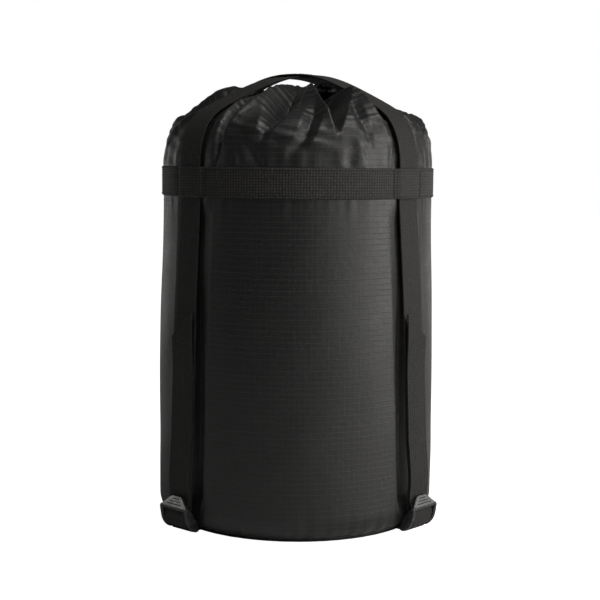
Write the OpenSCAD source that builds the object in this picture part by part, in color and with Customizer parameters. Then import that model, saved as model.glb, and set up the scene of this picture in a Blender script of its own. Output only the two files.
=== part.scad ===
// Compression sack: a round drawstring stuff sack with two crossed webbing straps over its gathered top.
// Each strap runs under a girth band and down to a ladder-lock buckle on the base seam.
// +Z is up, the front faces -Y and the origin is the centre of the base, on the surface it stands on.

/* [Body] */
// Radius of the stuffed body in its lower half
body_r = 120.5; // [118:0.5:123]
// Radius of the cloth where the girth band holds it in
waist_r = 117; // [115:0.5:118]
// Radius of the seam between the body and the base panel
seam_r = 107.5; // [105:0.5:109]
// Height at which the rounded lower corner ends
corner_h = 22; // [18:1:26]
// Thickness of the cloth walls, with their seam allowances
wall = 1.2; // [0.8:0.1:1.6]

/* [Gathered top] */
// Height of the gathered cloth above the girth band
dome_h = 69; // [60:1:74]
// How boxy the gathered top is, where 2 is an ellipse
dome_n = 2.3; // [2:0.1:3]
// How far the gathered top slumps between its shoulder and its mouth
slump = 7; // [0:0.5:9]
// Radius of the hem that the drawcord runs in
hem_r = 17; // [15:0.5:20]
// Radius of the hem's rolled cloth
hem_tube_r = 3.6; // [3.2:0.1:4]
// How far the mouth lies to the right of the axis
mouth_x = 12; // [6:1:14]
// How far the mouth lies in front of the axis
mouth_front = 8; // [4:1:10]

/* [Webbing] */
// Width of all the webbing
web_w = 25; // [20:1:25]
// Thickness of the webbing
web_t = 1.5; // [1.2:0.1:1.5]
// Top edge of the girth band above the base
band_top = 306; // [290:1:320]
// Height of the crossing over the top of the band
arch_h = 80; // [79:0.5:90]
// Travel of the strap tails and of the top when the sack is compressed
compress = 60; // [30:5:60]

/* [Drawcord] */
// Diameter of the drawcord
cord_d = 2.6; // [2:0.2:3]
// Half the spacing of the two cord tails
cord_gap = 1.6; // [1.4:0.1:1.8]

/* [Hidden] */
$fn = 96;

cloth_colour = [0.10, 0.10, 0.10];
web_colour = [0.07, 0.07, 0.07];
plastic_colour = [0.16, 0.16, 0.17];
steel_colour = [0.55, 0.55, 0.57];

band_w = web_w;
band_bottom = band_top - band_w;
split_z = 285;                 // where the body ends and the collar begins, behind the band
clear = 0.3;                   // gap between pieces that move past each other
web_r = waist_r + clear + web_t / 2;
arch_top = arch_h - web_t / 2; // centre line of the upper strap, above the band
cross_gap = 0.65;              // gap between the straps, which bend differently where they cross
arch_under = arch_top - web_t - cross_gap;

// Strap table: angle of the band loop, angle of the anchor and facing of the buckle, in degrees
// from the front towards the right. The same table turned half round gives the other two corners.
OVER = [50.5, 57, 48];
UNDER = [-48, -50.5, -42];

anchor_r = 121;                // distance of a buckle's lower bar from the axis
anchor_z = 4.4;
lean = 9;                      // outward lean of a buckle at rest
frame_half = 16.5;             // half the width of a buckle
rail_w = 3.6;
bar_r = 1.7;
grip_n = 5.2;                  // how far the grip bar stands out from the buckle's own plane
grip_low = 5.2;                // heights of the grip bar's two edges above the lower bar
grip_high = 12.2;
grip_r = 1.4;                  // half the thickness of the grip bar
head = [7.6, 18.4];            // (outward, up) place of the head bar that carries the lift tab
wrap_top = 30;                 // length of webbing that moves with a buckle

mouth = [mouth_x, -mouth_front];
mouth_z = 371;
exit_turn = 25;                // direction of the eyelet from the mouth's centre
cord_r = cord_d / 2;

// Route of a drawcord tail: distance from the mouth's centre towards the eyelet, and height
CORD_ROUTE = [[14.3, 373.7], [12.8, 374.9], [10.6, 375.5], [8.2, 375.2], [6.0, 373.9],
    [4.4, 371.7], [3.6, 369], [3.4, 366], [3.4, 340], [3.4, 300], [3.4, 260], [3.4, 220],
    [3.4, 180], [3.4, 140], [3.4, 110], [3.4, 86]];
ring_step = 9.5;               // distance between the rings of a cord's tube
cord_sides = 8;

// Outer radius of the stuffed body at a height
function body_radius(z) = z > corner_h
    ? waist_r + (body_r - waist_r) * pow(sin(90 * min(1, max(0, (split_z - z) / 150))), 2)
    : seam_r + (body_r - seam_r) * sqrt(max(0, 1 - pow((corner_h - z) / (corner_h - 2.5), 2)));

// Point of a boxy, slumped half dome of radius a and height h, at parameter t from 0 to 90 degrees
function dome_point(a, h, t) =
    [a * pow(cos(t), 2 / dome_n), band_top + h * pow(sin(t), 2 / dome_n) - slumped(t)];
function slumped(t) = t < 20 ? 0 : slump * pow(sin(180 * (t - 20) / 70), 2);

function unit(v) = v / norm(v);
function side_of(v) = [-v[1], v[0]];
function heading(path, i) =
    unit(path[min(i + 1, len(path) - 1)] - path[max(i - 1, 0)]);
function mix(a, b, k) = a + (b - a) * k;

// Outline of a strip of constant width that follows a path
function strip(path, width) = concat(
    [for (i = [0 : len(path) - 1]) path[i] + side_of(heading(path, i)) * width / 2],
    [for (i = [len(path) - 1 : -1 : 0]) path[i] - side_of(heading(path, i)) * width / 2]);

function arc(centre, r, from, to, step) =
    [for (a = [from : step : to]) centre + r * [cos(a), sin(a)]];

// Draws an (outward, up) outline as a solid of the given width across, facing the front
module across(width) {
    rotate([90, 0, -90])
        linear_extrude(width, center = true)
            children();
}

// Turns a child that faces the front to a place around the axis
module at_place(angle, radius, facing) {
    translate([radius * sin(angle), -radius * cos(angle), 0])
        rotate([0, 0, facing])
            children();
}

module at_anchor(strap, spin) {
    rotate([0, 0, spin])
        at_place(strap[1], anchor_r, strap[2])
            translate([0, 0, anchor_z])
                rotate([lean, 0, 0])
                    children();
}

// ---- Body and base ----

module base_panel() {
    color(cloth_colour)
        cylinder(h = 1.4, r = seam_r - 0.5);
}

module base_binding() {
    color(web_colour)
        rotate_extrude()
            translate([seam_r - 0.2, 0.4])
                square([2.3, 1.9]);
}

module body_panel() {
    heights = concat([for (k = [0 : 10 : 90]) corner_h - (corner_h - 2.5) * cos(k)],
        [60], [for (z = [140 : 18 : 266]) z], [split_z - 0.5]);
    outer = [for (z = heights) [body_radius(z), z]];
    inner = [for (i = [len(heights) - 1 : -1 : 0])
        [outer[i][0] - wall, max(outer[i][1], 2.5 + wall)]];
    color(cloth_colour)
        rotate_extrude()
            polygon(concat(outer, [for (p = inner) if (p[1] > 2.5 + wall) p],
                [[seam_r - wall, 2.5 + wall], [seam_r - wall, 2.5]]));
}

module side_seam() {
    path = [for (z = [corner_h + 2 : 16 : band_bottom - 2]) [body_radius(z) + 0.5, z]];
    color(cloth_colour)
        rotate([0, 0, 180])
            across(9)
                polygon(strip(path, 0.7));
}

// ---- Gathered top ----

module collar() {
    steps = [0 : 7.5 : 90];
    outer = [for (t = steps) dome_point(waist_r, dome_h, t)];
    inner = [for (t = [90 : -7.5 : 0]) dome_point(waist_r - wall, dome_h - wall, t)];
    color(cloth_colour)
        difference() {
            rotate_extrude()
                polygon(concat([[waist_r, split_z + 0.5]], outer, inner,
                    [[waist_r - wall, split_z + 0.5]]));
            translate([mouth[0], mouth[1], mouth_z - 40])
                cylinder(h = 80, r = hem_r + hem_tube_r + clear);
        }
}

// Turns a child drawn towards the front so that it points from the mouth to the eyelet
module at_mouth() {
    translate([mouth[0], mouth[1], 0])
        rotate([0, 0, exit_turn])
            children();
}

module mouth_hem() {
    color(cloth_colour)
        at_mouth()
            difference() {
                translate([0, 0, mouth_z])
                    rotate_extrude()
                        translate([hem_r, 0])
                            difference() {
                                circle(hem_tube_r, $fn = 32);
                                circle(cord_r + 0.6, $fn = 32);
                            }
                translate([0, -hem_r, mouth_z])
                    rotate([-45, 0, 0])
                        cylinder(h = 20, r = 4.8, $fn = 48);
            }
}

module drawcord() {
    color(web_colour)
        at_mouth()
            translate([0, 0, mouth_z])
                rotate([0, 0, -78])
                    rotate_extrude(angle = 336)
                        translate([hem_r, 0])
                            circle(cord_r, $fn = 24);
}

module drawcord_eyelet() {
    color(steel_colour)
        at_mouth()
            translate([0, -hem_r, mouth_z])
                rotate([-45, 0, 0])
                    translate([0, 0, 2.7])
                        rotate_extrude()
                            translate([3.3, 0])
                                square([1.2, 1.4]);
}

// Ring of points round a cord that runs in an upright plane
function cord_ring(p, dir, aside) = [for (k = [0 : cord_sides - 1])
    let (a = 360 * k / cord_sides, across_dir = side_of(dir))
    [aside + cord_r * sin(a), -(p[0] + cord_r * cos(a) * across_dir[0]),
        p[1] + cord_r * cos(a) * across_dir[1]]];

// The route with points added along its long straight stretches
function filled(route) = [for (i = [0 : len(route) - 2])
    let (gap = norm(route[i + 1] - route[i]), parts = ceil(gap / ring_step))
    for (k = [0 : parts - 1]) mix(route[i], route[i + 1], k / parts)];

module cord_tail(aside) {
    path = concat(filled(CORD_ROUTE), [CORD_ROUTE[len(CORD_ROUTE) - 1]]);
    rings = len(path);
    points = [for (i = [0 : rings - 1]) each cord_ring(path[i], heading(path, i), aside)];
    sides = [for (i = [0 : rings - 2], k = [0 : cord_sides - 1])
        let (a = i * cord_sides + k, b = i * cord_sides + (k + 1) % cord_sides)
        [a, b, b + cord_sides, a + cord_sides]];
    first = [for (k = [cord_sides - 1 : -1 : 0]) k];
    last = [for (k = [0 : cord_sides - 1]) (rings - 1) * cord_sides + k];
    color(web_colour)
        at_mouth()
            polyhedron(points, concat([first], sides, [last]));
}

module cord_knot() {
    color(web_colour)
        at_mouth()
            translate([0, -CORD_ROUTE[len(CORD_ROUTE) - 1][0], 81.8])
                rotate_extrude()
                    intersection() {
                        circle(4, $fn = 32);
                        translate([0, -5])
                            square([5, 10]);
                    }
}

// ---- Cord lock: a press barrel that slides on the two tails ----

lock_z = 360;
lock_r = 6.4;
lock_back = -6.6;              // ends of the barrel along its own axis, from the mouth's centre
lock_front = 7.4;
button_out = 10.9;
button_r = 4.4;
button_travel = 3.5;
button_back = -1.7;
cord_at = 3.4;

// Cylinder along the lock's axis between two distances from the mouth's centre
module lock_round(from, to, r) {
    translate([0, -from, lock_z])
        rotate([90, 0, 0])
            cylinder(h = to - from, r = r, $fn = 48);
}

module cord_lock_barrel() {
    color(plastic_colour)
        at_mouth()
            difference() {
                lock_round(lock_back, lock_front, lock_r);
                lock_round(lock_back + 1.2, lock_front + 1, button_r + 0.2);
                translate([-3.3, -cord_at - 1.6, lock_z - 10])
                    cube([6.6, 3.2, 20]);
            }
}

module cord_lock_button() {
    color(plastic_colour)
        at_mouth()
            difference() {
                lock_round(button_back, button_out, button_r);
                lock_round(button_back - 1, button_back + 2.5, 2.8);
                translate([-3.3, -cord_at - 1.6 - button_travel, lock_z - 10])
                    cube([6.6, 3.2 + button_travel, 20]);
            }
}

module cord_lock_spring() {
    turns = [0 : 1.2 : 4.8];
    color(steel_colour)
        at_mouth()
            for (k = turns)
                translate([0, -(lock_back + 1.7 + k), lock_z])
                    rotate([90, 0, 0])
                        rotate_extrude()
                            translate([2, 0])
                                circle(0.35, $fn = 16);
}

// ---- Girth band ----

module at_loops() {
    for (spin = [0, 180], strap = [OVER, UNDER])
        rotate([0, 0, spin + strap[0]])
            children();
}

module girth_band() {
    color(web_colour)
        translate([0, 0, band_bottom])
            linear_extrude(band_w)
                difference() {
                    union() {
                        circle(waist_r + 1.7);
                        at_loops()
                            translate([0, -web_r])
                                square([web_w + 6.4, 5], center = true);
                    }
                    circle(waist_r + clear);
                    at_loops()
                        translate([0, -web_r])
                            square([web_w + 3, web_t + 0.7], center = true);
                }
}

module band_tacks() {
    color(web_colour)
        at_loops()
            for (side = [-1, 1])
                rotate([0, 0, side * 8.8])
                    translate([-0.8, -waist_r - 2.5, band_bottom + 1.5])
                        cube([1.6, 0.7, band_w - 3]);
}

// ---- Crossed straps over the top ----

module cross_strap(strap, rise) {
    half = concat([[web_r, band_bottom + 2], [web_r, band_top - 8]],
        [for (t = [0 : 6 : 84]) dome_point(web_r, rise, t)], [dome_point(web_r, rise, 87)]);
    other = [for (i = [len(half) - 1 : -1 : 0]) [-half[i][0], half[i][1]]];
    color(web_colour)
        rotate([0, 0, strap[0]])
            across(web_w)
                polygon(strip(concat(half, [[0, band_top + rise]], other), web_t));
}

module cross_stitch() {
    box = 17;
    color(web_colour)
        translate([0, 0, band_top + arch_h + 0.05])
            rotate([0, 0, OVER[0]])
                linear_extrude(0.35)
                    for (turn = [0, 90, 45, 135])
                        rotate(turn)
                            if (turn % 90 == 0)
                                for (side = [-1, 1])
                                    translate([0, side * box / 2])
                                        square([box + 0.8, 0.8], center = true);
                            else
                                square([box * sqrt(2), 0.8], center = true);
}

// ---- Strap legs, tails and the webbing round each buckle's grip bar ----

// Thin cross section of webbing at a height, moved out by a further distance
module leg_slab(angle, radius, facing, z, out, skew = 0) {
    at_place(angle, radius, facing)
        translate([0, -out, z])
            rotate([0, -skew, 0])
                cube([web_w / cos(skew), web_t, 0.02], center = true);
}

// One cross section of a leg by its share of the way up from the anchor (0) to the band (1)
module station(strap, share, out, z, radius) {
    leg_slab(mix(strap[1], strap[0], share), radius, mix(strap[2], strap[0], share), z, out);
}

foot_out = wrap_top * sin(lean) - 2.2 * cos(lean);
foot_z = anchor_z + wrap_top * cos(lean) + 0.8;
tail_out = web_t + 0.6;

module strap_leg(strap, spin) {
    low = [0, foot_out, foot_z, anchor_r];
    mid = [0.3, 0, 110, 122.3];
    high = [0.65, 0, 200, 121];
    top = [1, 0, band_bottom + 1.6, web_r];
    color(web_colour)
        rotate([0, 0, spin])
            for (pair = [[low, mid], [mid, high], [high, top]])
                hull() {
                    for (s = pair)
                        station(strap, s[0], s[1], s[2], s[3]);
                }
}

module strap_tail(strap, spin) {
    skew = strap[0] > 0 ? -42 : 42;
    color(web_colour)
        rotate([0, 0, spin]) {
            hull() {
                station(strap, 0, foot_out + tail_out, foot_z + 0.4, anchor_r);
                station(strap, 0.3, tail_out, 110, 122.3);
            }
            hull() {
                station(strap, 0.3, tail_out, 110, 122.3);
                leg_slab(mix(strap[1], strap[0], 0.55), 121.5, mix(strap[2], strap[0], 0.55),
                    176, tail_out, skew);
            }
        }
}

// Route of the webbing round the grip bar: down behind it, round its lower edge and up in front
turn_r = grip_r + web_t / 2 + 0.45;
wrap_route = concat([[-2.2, wrap_top], [-0.9, 22], [0.5, 16.5], [grip_n - turn_r, 11]],
    arc([grip_n, grip_low], turn_r, 180, 360, 20),
    [[grip_n + turn_r, 13.2], [7.1, 15.2], [5.6, 17], [3.5, 18.8], [1.9, 20.8], [0.95, 23.4],
    [-0.4, wrap_top]]);

module strap_wrap(strap, spin) {
    color(web_colour)
        at_anchor(strap, spin)
            across(web_w - 0.4)
                polygon(strip(wrap_route, web_t));
}

// ---- Ladder-lock buckles and their anchor loops ----

// Outline of a buckle's side plate: a round foot about the lower bar, a deep middle and a narrow head
side_plate = concat(arc([0, 0], 2.8, 165, 285, 15), [[3.4, -1.8], [5.8, 0.6], [8, 4], [9.3, 8],
    [9.6, 12.5]], arc(head, 2, 0, 150, 25), [[3.6, 16.4], [1.9, 12.5], [0, 8], [-1.9, 4]]);

// Lift tab, drawn flat with its root along X: a tongue that narrows to its tip
tab_slope = 56;                // how steeply the tab rises from the head bar, in degrees
tab_t = 2;
lift_tab = [[-15.6, 0], [-14.6, 2.2], [-7, 9.4], [-5, 10.4], [5, 10.4], [7, 9.4], [14.6, 2.2],
    [15.6, 0]];

module buckle(strap, spin) {
    inner_half = frame_half - rail_w;
    color(plastic_colour)
        at_anchor(strap, spin) {
            for (side = [-1, 1])
                translate([side * (frame_half - rail_w / 2), 0, 0])
                    across(rail_w)
                        polygon(side_plate);
            across(2 * inner_half + 1)
                circle(bar_r, $fn = 32);
            across(2 * inner_half + 1)
                for (u = [grip_low, grip_high])
                    translate([grip_n, u])
                        circle(grip_r, $fn = 32);
            across(2 * inner_half + 1)
                translate([grip_n - grip_r, grip_low])
                    square([2 * grip_r, grip_high - grip_low]);
            across(2 * inner_half + 1)
                translate(head)
                    circle(1.5, $fn = 32);
            translate([0, -head[0], head[1]])
                rotate([tab_slope, 0, 0])
                    linear_extrude(tab_t)
                        polygon(lift_tab);
        }
}

module anchor_loop(strap, spin) {
    loop_r = bar_r + clear + web_t;
    color(web_colour)
        rotate([0, 0, spin])
            at_place(strap[1], anchor_r, strap[2])
                across(web_w - 1.2)
                    difference() {
                        union() {
                            translate([0, anchor_z])
                                circle(loop_r, $fn = 48);
                            translate([-9.4, anchor_z - loop_r])
                                square([9.4, 1.7]);
                        }
                        translate([0, anchor_z])
                            circle(bar_r + clear, $fn = 48);
                    }
}

base_panel();
base_binding();
body_panel();
side_seam();
collar();
mouth_hem();
girth_band();
band_tacks();
drawcord();
drawcord_eyelet();
cord_tail(-cord_gap);  // drawcord_tail_left
cord_tail(cord_gap);  // drawcord_tail_right
cord_knot();
cord_lock_barrel();
cord_lock_spring();
cord_lock_button();
cross_strap(OVER, arch_top);  // cross_strap_over
cross_strap(UNDER, arch_under);  // cross_strap_under
cross_stitch();
strap_leg(OVER, 0);  // strap_leg_front_right
strap_leg(OVER, 180);  // strap_leg_back_left
strap_leg(UNDER, 0);  // strap_leg_front_left
strap_leg(UNDER, 180);  // strap_leg_back_right
strap_tail(OVER, 0);  // strap_tail_front_right
strap_tail(OVER, 180);  // strap_tail_back_left
strap_tail(UNDER, 0);  // strap_tail_front_left
strap_tail(UNDER, 180);  // strap_tail_back_right
strap_wrap(OVER, 0);  // strap_wrap_front_right
strap_wrap(OVER, 180);  // strap_wrap_back_left
strap_wrap(UNDER, 0);  // strap_wrap_front_left
strap_wrap(UNDER, 180);  // strap_wrap_back_right
buckle(OVER, 0);  // buckle_front_right
buckle(OVER, 180);  // buckle_back_left
buckle(UNDER, 0);  // buckle_front_left
buckle(UNDER, 180);  // buckle_back_right
anchor_loop(OVER, 0);  // anchor_loop_front_right
anchor_loop(OVER, 180);  // anchor_loop_back_left
anchor_loop(UNDER, 0);  // anchor_loop_front_left
anchor_loop(UNDER, 180);  // anchor_loop_back_right
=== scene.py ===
"""Looks of a stuffed compression sack.

Gathered ripstop cloth, webbing straps, ladder-lock buckles and a drawcord. Every size is in metres, in
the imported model's frame: +Z up, the front faces -Y, the origin is the centre of the base. Angles are
in degrees from the front towards the right (+X).
"""
import math

import bmesh
import bpy
import numpy as np
from mathutils import Matrix, Vector


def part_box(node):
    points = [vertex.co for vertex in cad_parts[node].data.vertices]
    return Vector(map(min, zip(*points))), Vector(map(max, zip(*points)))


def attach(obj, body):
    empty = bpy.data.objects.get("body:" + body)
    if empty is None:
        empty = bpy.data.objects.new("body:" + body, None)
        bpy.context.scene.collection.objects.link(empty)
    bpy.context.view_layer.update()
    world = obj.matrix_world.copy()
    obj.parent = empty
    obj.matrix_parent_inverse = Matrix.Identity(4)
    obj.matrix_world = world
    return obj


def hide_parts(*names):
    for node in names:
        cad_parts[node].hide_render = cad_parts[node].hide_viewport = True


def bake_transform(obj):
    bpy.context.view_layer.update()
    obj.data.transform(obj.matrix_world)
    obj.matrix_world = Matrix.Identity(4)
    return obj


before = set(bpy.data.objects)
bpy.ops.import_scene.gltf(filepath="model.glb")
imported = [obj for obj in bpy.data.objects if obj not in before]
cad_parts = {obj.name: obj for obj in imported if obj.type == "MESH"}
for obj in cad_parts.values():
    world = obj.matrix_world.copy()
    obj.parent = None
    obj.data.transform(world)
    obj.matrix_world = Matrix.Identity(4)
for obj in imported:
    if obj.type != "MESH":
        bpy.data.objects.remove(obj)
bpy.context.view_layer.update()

MM = 0.001


def low(node, axis):
    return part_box(node)[0][axis]


def high(node, axis):
    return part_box(node)[1][axis]


# ---- Sizes, from the frame where it holds them ----

BODY_R = high("body_panel", 0)
WAIST_R = high("collar", 0)
SEAM_R = high("base_panel", 0) + 0.5 * MM
BODY_BOTTOM = low("body_panel", 2)
SPLIT_Z = high("body_panel", 2) + 0.5 * MM
BAND_BOTTOM = low("girth_band", 2)
BAND_TOP = high("girth_band", 2)
CORNER_H = 22 * MM           # height of the body's rounded lower edge
DOME_H = high("collar", 2) + 0.2 * MM - BAND_TOP
DOME_N = 2.3                 # exponent of the dome's outline, a superellipse
SLUMP = 7 * MM               # how far the gathered top sinks between its shoulder and its mouth
WEB_W = 25 * MM
WEB_T = 1.5 * MM
WEB_R = WAIST_R + 0.3 * MM + WEB_T / 2
ARCH_OVER = high("cross_strap_over", 2) - BAND_TOP - WEB_T / 2
ARCH_UNDER = high("cross_strap_under", 2) - BAND_TOP - WEB_T / 2
MOUTH = np.array([12 * MM, -8 * MM])
MOUTH_Z = 371 * MM
HEM_R = 17 * MM
HEM_TUBE_R = 3.6 * MM
EXIT_TURN = 25               # angle of the eyelet round the mouth
CORD_D = 2.6 * MM
CORD_GAP = 1.6 * MM          # how far each tail lies from the middle between them
LOCK_Z = 360 * MM            # height of the cord lock's axis
SPRING = (-4.9 * MM, 0.1 * MM)   # the spring's ends along that axis, from the mouth's centre

# Strap table: angle of the band loop, angle of the anchor and facing of the buckle
OVER = (50.5, 57, 48)
UNDER = (-48, -50.5, -42)
# The strap that each corner's leg belongs to, and its turn round the axis
CORNERS = {"front_right": (OVER, 0), "back_left": (OVER, 180),
           "front_left": (UNDER, 0), "back_right": (UNDER, 180)}
ANCHOR_R = 121 * MM
ANCHOR_Z = 4.4 * MM
LEAN = 9                     # how far the top of a buckle leans out
WRAP_TOP = 30 * MM
TAIL_LAYER = WEB_T + 0.6 * MM
TAIL_TOP = 176 * MM
# A buckle's own (outward, up) sizes are in mm
GRIP_N, GRIP_LOW, GRIP_HIGH, GRIP_R = 5.2, 5.2, 12.2, 1.4
SPLIT_LEG_Z = 75 * MM        # where the part of a leg that follows its buckle ends


# ---- Small helpers ----

def sin(a):
    return np.sin(np.radians(a))


def cos(a):
    return np.cos(np.radians(a))


def polar(radius, angle, z):
    """Point at a radius and an angle round the axis; takes arrays."""
    return np.stack(np.broadcast_arrays(radius * sin(angle), -radius * cos(angle), z), axis=-1)


def smooth(x, a, b):
    """0 below a, 1 above b, smooth between them."""
    t = np.clip((x - a) / (b - a), 0, 1)
    return t * t * (3 - 2 * t)


def unit(v):
    return v / np.maximum(np.linalg.norm(v, axis=-1, keepdims=True), 1e-12)


def heading(path, closed=False):
    """Unit direction of a path at each of its points."""
    if closed:
        return unit(np.roll(path, -1, axis=0) - np.roll(path, 1, axis=0))
    ahead = np.vstack([path[1:], path[-1:]])
    behind = np.vstack([path[:1], path[:-1]])
    return unit(ahead - behind)


def lengths(path):
    return np.r_[0, np.cumsum(np.linalg.norm(np.diff(path, axis=0), axis=1))]


def resample(path, step):
    """The same path with its points an even step apart, on a smooth curve through them."""
    path = np.asarray(path, float)
    s = lengths(path)
    count = max(2, int(round(s[-1] / step)) + 1)
    return spline(s, path, np.linspace(0, s[-1], count))


def hermite(t, a, b, slope_a, slope_b):
    """Cubic from a to b with given slopes, at shares t of the way."""
    return ((2 * t**3 - 3 * t**2 + 1) * a + (t**3 - 2 * t**2 + t) * slope_a
            + (3 * t**2 - 2 * t**3) * b + (t**3 - t**2) * slope_b)


def spline(s, values, at):
    """Smooth cubic through rows of values at stations s, read at other stations."""
    values = np.asarray(values, float)
    slope = np.gradient(values, s, axis=0)
    i = np.clip(np.searchsorted(s, at, side="right") - 1, 0, len(s) - 2)
    h = (s[i + 1] - s[i])[:, None]
    t = (at - s[i])[:, None] / h
    return hermite(t, values[i], values[i + 1], slope[i] * h, slope[i + 1] * h)


def wobble(angle, waves, seed):
    """Periodic noise of about unit size round the axis, from a few sine waves."""
    own = np.random.default_rng(seed)
    total = 0
    for w in waves:
        size = own.uniform(0.5, 1)
        total = total + size * np.sin(np.radians(angle) * w + own.uniform(0, 2 * math.pi))
    return total / math.sqrt(len(waves))


def slumped(t):
    """How far the dome's outline sinks at its parameter, 0 degrees at the band and 90 at the middle."""
    return SLUMP * sin(180 * np.clip((t - 20) / 70, 0, 1)) ** 2


# ---- Mesh making: a part is (points, faces, uv per face corner) ----

def grid_uv(u, v):
    """UVs of a grid, from a u for each column and a v for each row."""
    return np.stack(np.broadcast_arrays(u[None, :], v[:, None]), axis=-1)


def grid_part(points, uv, wrap_rows=False):
    """Quads over a grid of points [rows, columns], each row a closed ring.

    uv has one more column than points, and one more row where the rows wrap as well.
    """
    rows, cols = points.shape[:2]
    j, i = np.meshgrid(np.arange(rows if wrap_rows else rows - 1), np.arange(cols), indexing="ij")
    j, i = j.ravel(), i.ravel()
    jn, ins = (j + 1) % rows, (i + 1) % cols
    quads = np.stack([j * cols + i, j * cols + ins, jn * cols + ins, jn * cols + i], axis=1)
    corners = np.stack([uv[j, i], uv[j, i + 1], uv[j + 1, i + 1], uv[j + 1, i]], axis=1)
    return points.reshape(-1, 3), [tuple(q) for q in quads], [tuple(map(tuple, c)) for c in corners]


def cap_part(ring, flip):
    """Closes a ring of points with triangles round its centre."""
    count = len(ring)
    points = np.vstack([ring, ring.mean(axis=0)])
    centred = ring - ring.mean(axis=0)
    flat = np.vstack([centred @ np.linalg.svd(centred)[2][:2].T, [[0, 0]]])
    faces = [(i, (i + 1) % count, count) for i in range(count)]
    if flip:
        faces = [f[::-1] for f in faces]
    return points, faces, [tuple(tuple(flat[k]) for k in f) for f in faces]


def sweep_part(path, side, out, section, closed=False, shift=None):
    """Sweeps a closed section of (across, outward) points along a path.

    shift moves each section point along the path, as for a slanted end.
    """
    path = np.asarray(path, float)
    section = np.asarray(section, float)
    rings = path[:, None] + side[:, None] * section[None, :, :1] + out[:, None] * section[None, :, 1:]
    if shift is not None:
        rings = rings + heading(path)[:, None] * shift[..., None]
    along = lengths(np.vstack([path, path[:1]]) if closed else path)
    around = lengths(np.vstack([section, section[:1]]))
    flat_side = np.r_[section[:, 0], section[0, 0]]
    across = flat_side if np.ptp(section[:, 0]) > 4 * np.ptp(section[:, 1]) else around
    parts = [grid_part(rings, grid_uv(across, along), wrap_rows=closed)]
    if not closed:
        parts += [cap_part(rings[0], True), cap_part(rings[-1], False)]
    return join_parts(parts)


def join_parts(parts):
    points, faces, uvs, base = [], [], [], 0
    for p, f, uv in parts:
        points.append(p)
        faces += [tuple(int(k) + base for k in face) for face in f]
        uvs += list(uv)
        base += len(p)
    return np.vstack(points), faces, uvs


def moved(part, matrix):
    points = np.c_[part[0], np.ones(len(part[0]))] @ np.array(matrix).T
    return points[:, :3], part[1], part[2]


def make(name, part, material, closed=True, sharp=None):
    """Makes an object from a part, with its UVs in metres. Closed parts get outward normals."""
    points, faces, uvs = part
    mesh = bpy.data.meshes.new(name)
    mesh.from_pydata(points.tolist(), [], faces)
    layer = mesh.uv_layers.new(name="UVMap")
    layer.data.foreach_set("uv", np.array([c for face in uvs for c in face], np.float32).ravel())
    mesh.polygons.foreach_set("use_smooth", [True] * len(mesh.polygons))
    mesh.materials.append(material)
    if closed:
        shape = bmesh.new()
        shape.from_mesh(mesh)
        bmesh.ops.recalc_face_normals(shape, faces=shape.faces)
        shape.to_mesh(mesh)
        shape.free()
    if sharp:
        mesh.set_sharp_from_angle(angle=math.radians(sharp))
    piece = bpy.data.objects.new(name, mesh)
    bpy.context.scene.collection.objects.link(piece)
    return piece


def subdivide(piece):
    mod = piece.modifiers.new("smooth", "SUBSURF")
    mod.levels = mod.render_levels = 1
    mod.uv_smooth = "PRESERVE_BOUNDARIES"


def disc_section(radius, sides):
    a = np.linspace(0, 2 * math.pi, sides, endpoint=False)
    return np.stack([radius * np.cos(a), radius * np.sin(a)], axis=1)


def box_section(width, height, bevel):
    """Rounded rectangle, centred, running anticlockwise."""
    pts = []
    for cx, cy, start in ((1, 1, 0), (-1, 1, 90), (-1, -1, 180), (1, -1, 270)):
        for a in np.linspace(start, start + 90, 4):
            pts.append((cx * (width / 2 - bevel) + bevel * math.cos(math.radians(a)),
                        cy * (height / 2 - bevel) + bevel * math.sin(math.radians(a))))
    return np.array(pts)


def tube_frames(path, closed):
    """Side and outward directions of a round tube's rings, turned as little as possible along it."""
    d = heading(path, closed)
    side = np.zeros_like(path)
    guess = np.array([0, 0, 1.0])
    if abs(d[0] @ guess) > 0.9:
        guess = np.array([1.0, 0, 0])
    last = unit(np.cross(guess, d[0]))
    for k in range(len(path)):
        last = unit(last - (last @ d[k]) * d[k])
        side[k] = last
    return side, np.cross(d, side)


def tube_part(path, radius, sides, closed=False):
    path = np.asarray(path, float)
    side, out = tube_frames(path, closed)
    return sweep_part(path, side, out, disc_section(radius, sides), closed)


# ---- Materials ----

def start_material(name, colour, rough, specular=0.5):
    mat = bpy.data.materials.new(name)
    mat.use_nodes = True
    n = Nodes(mat.node_tree, "Principled BSDF")
    n.set("Base Color", (*colour, 1))
    n.set("Roughness", rough)
    n.set("Specular IOR Level", specular)
    return mat, n


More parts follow.
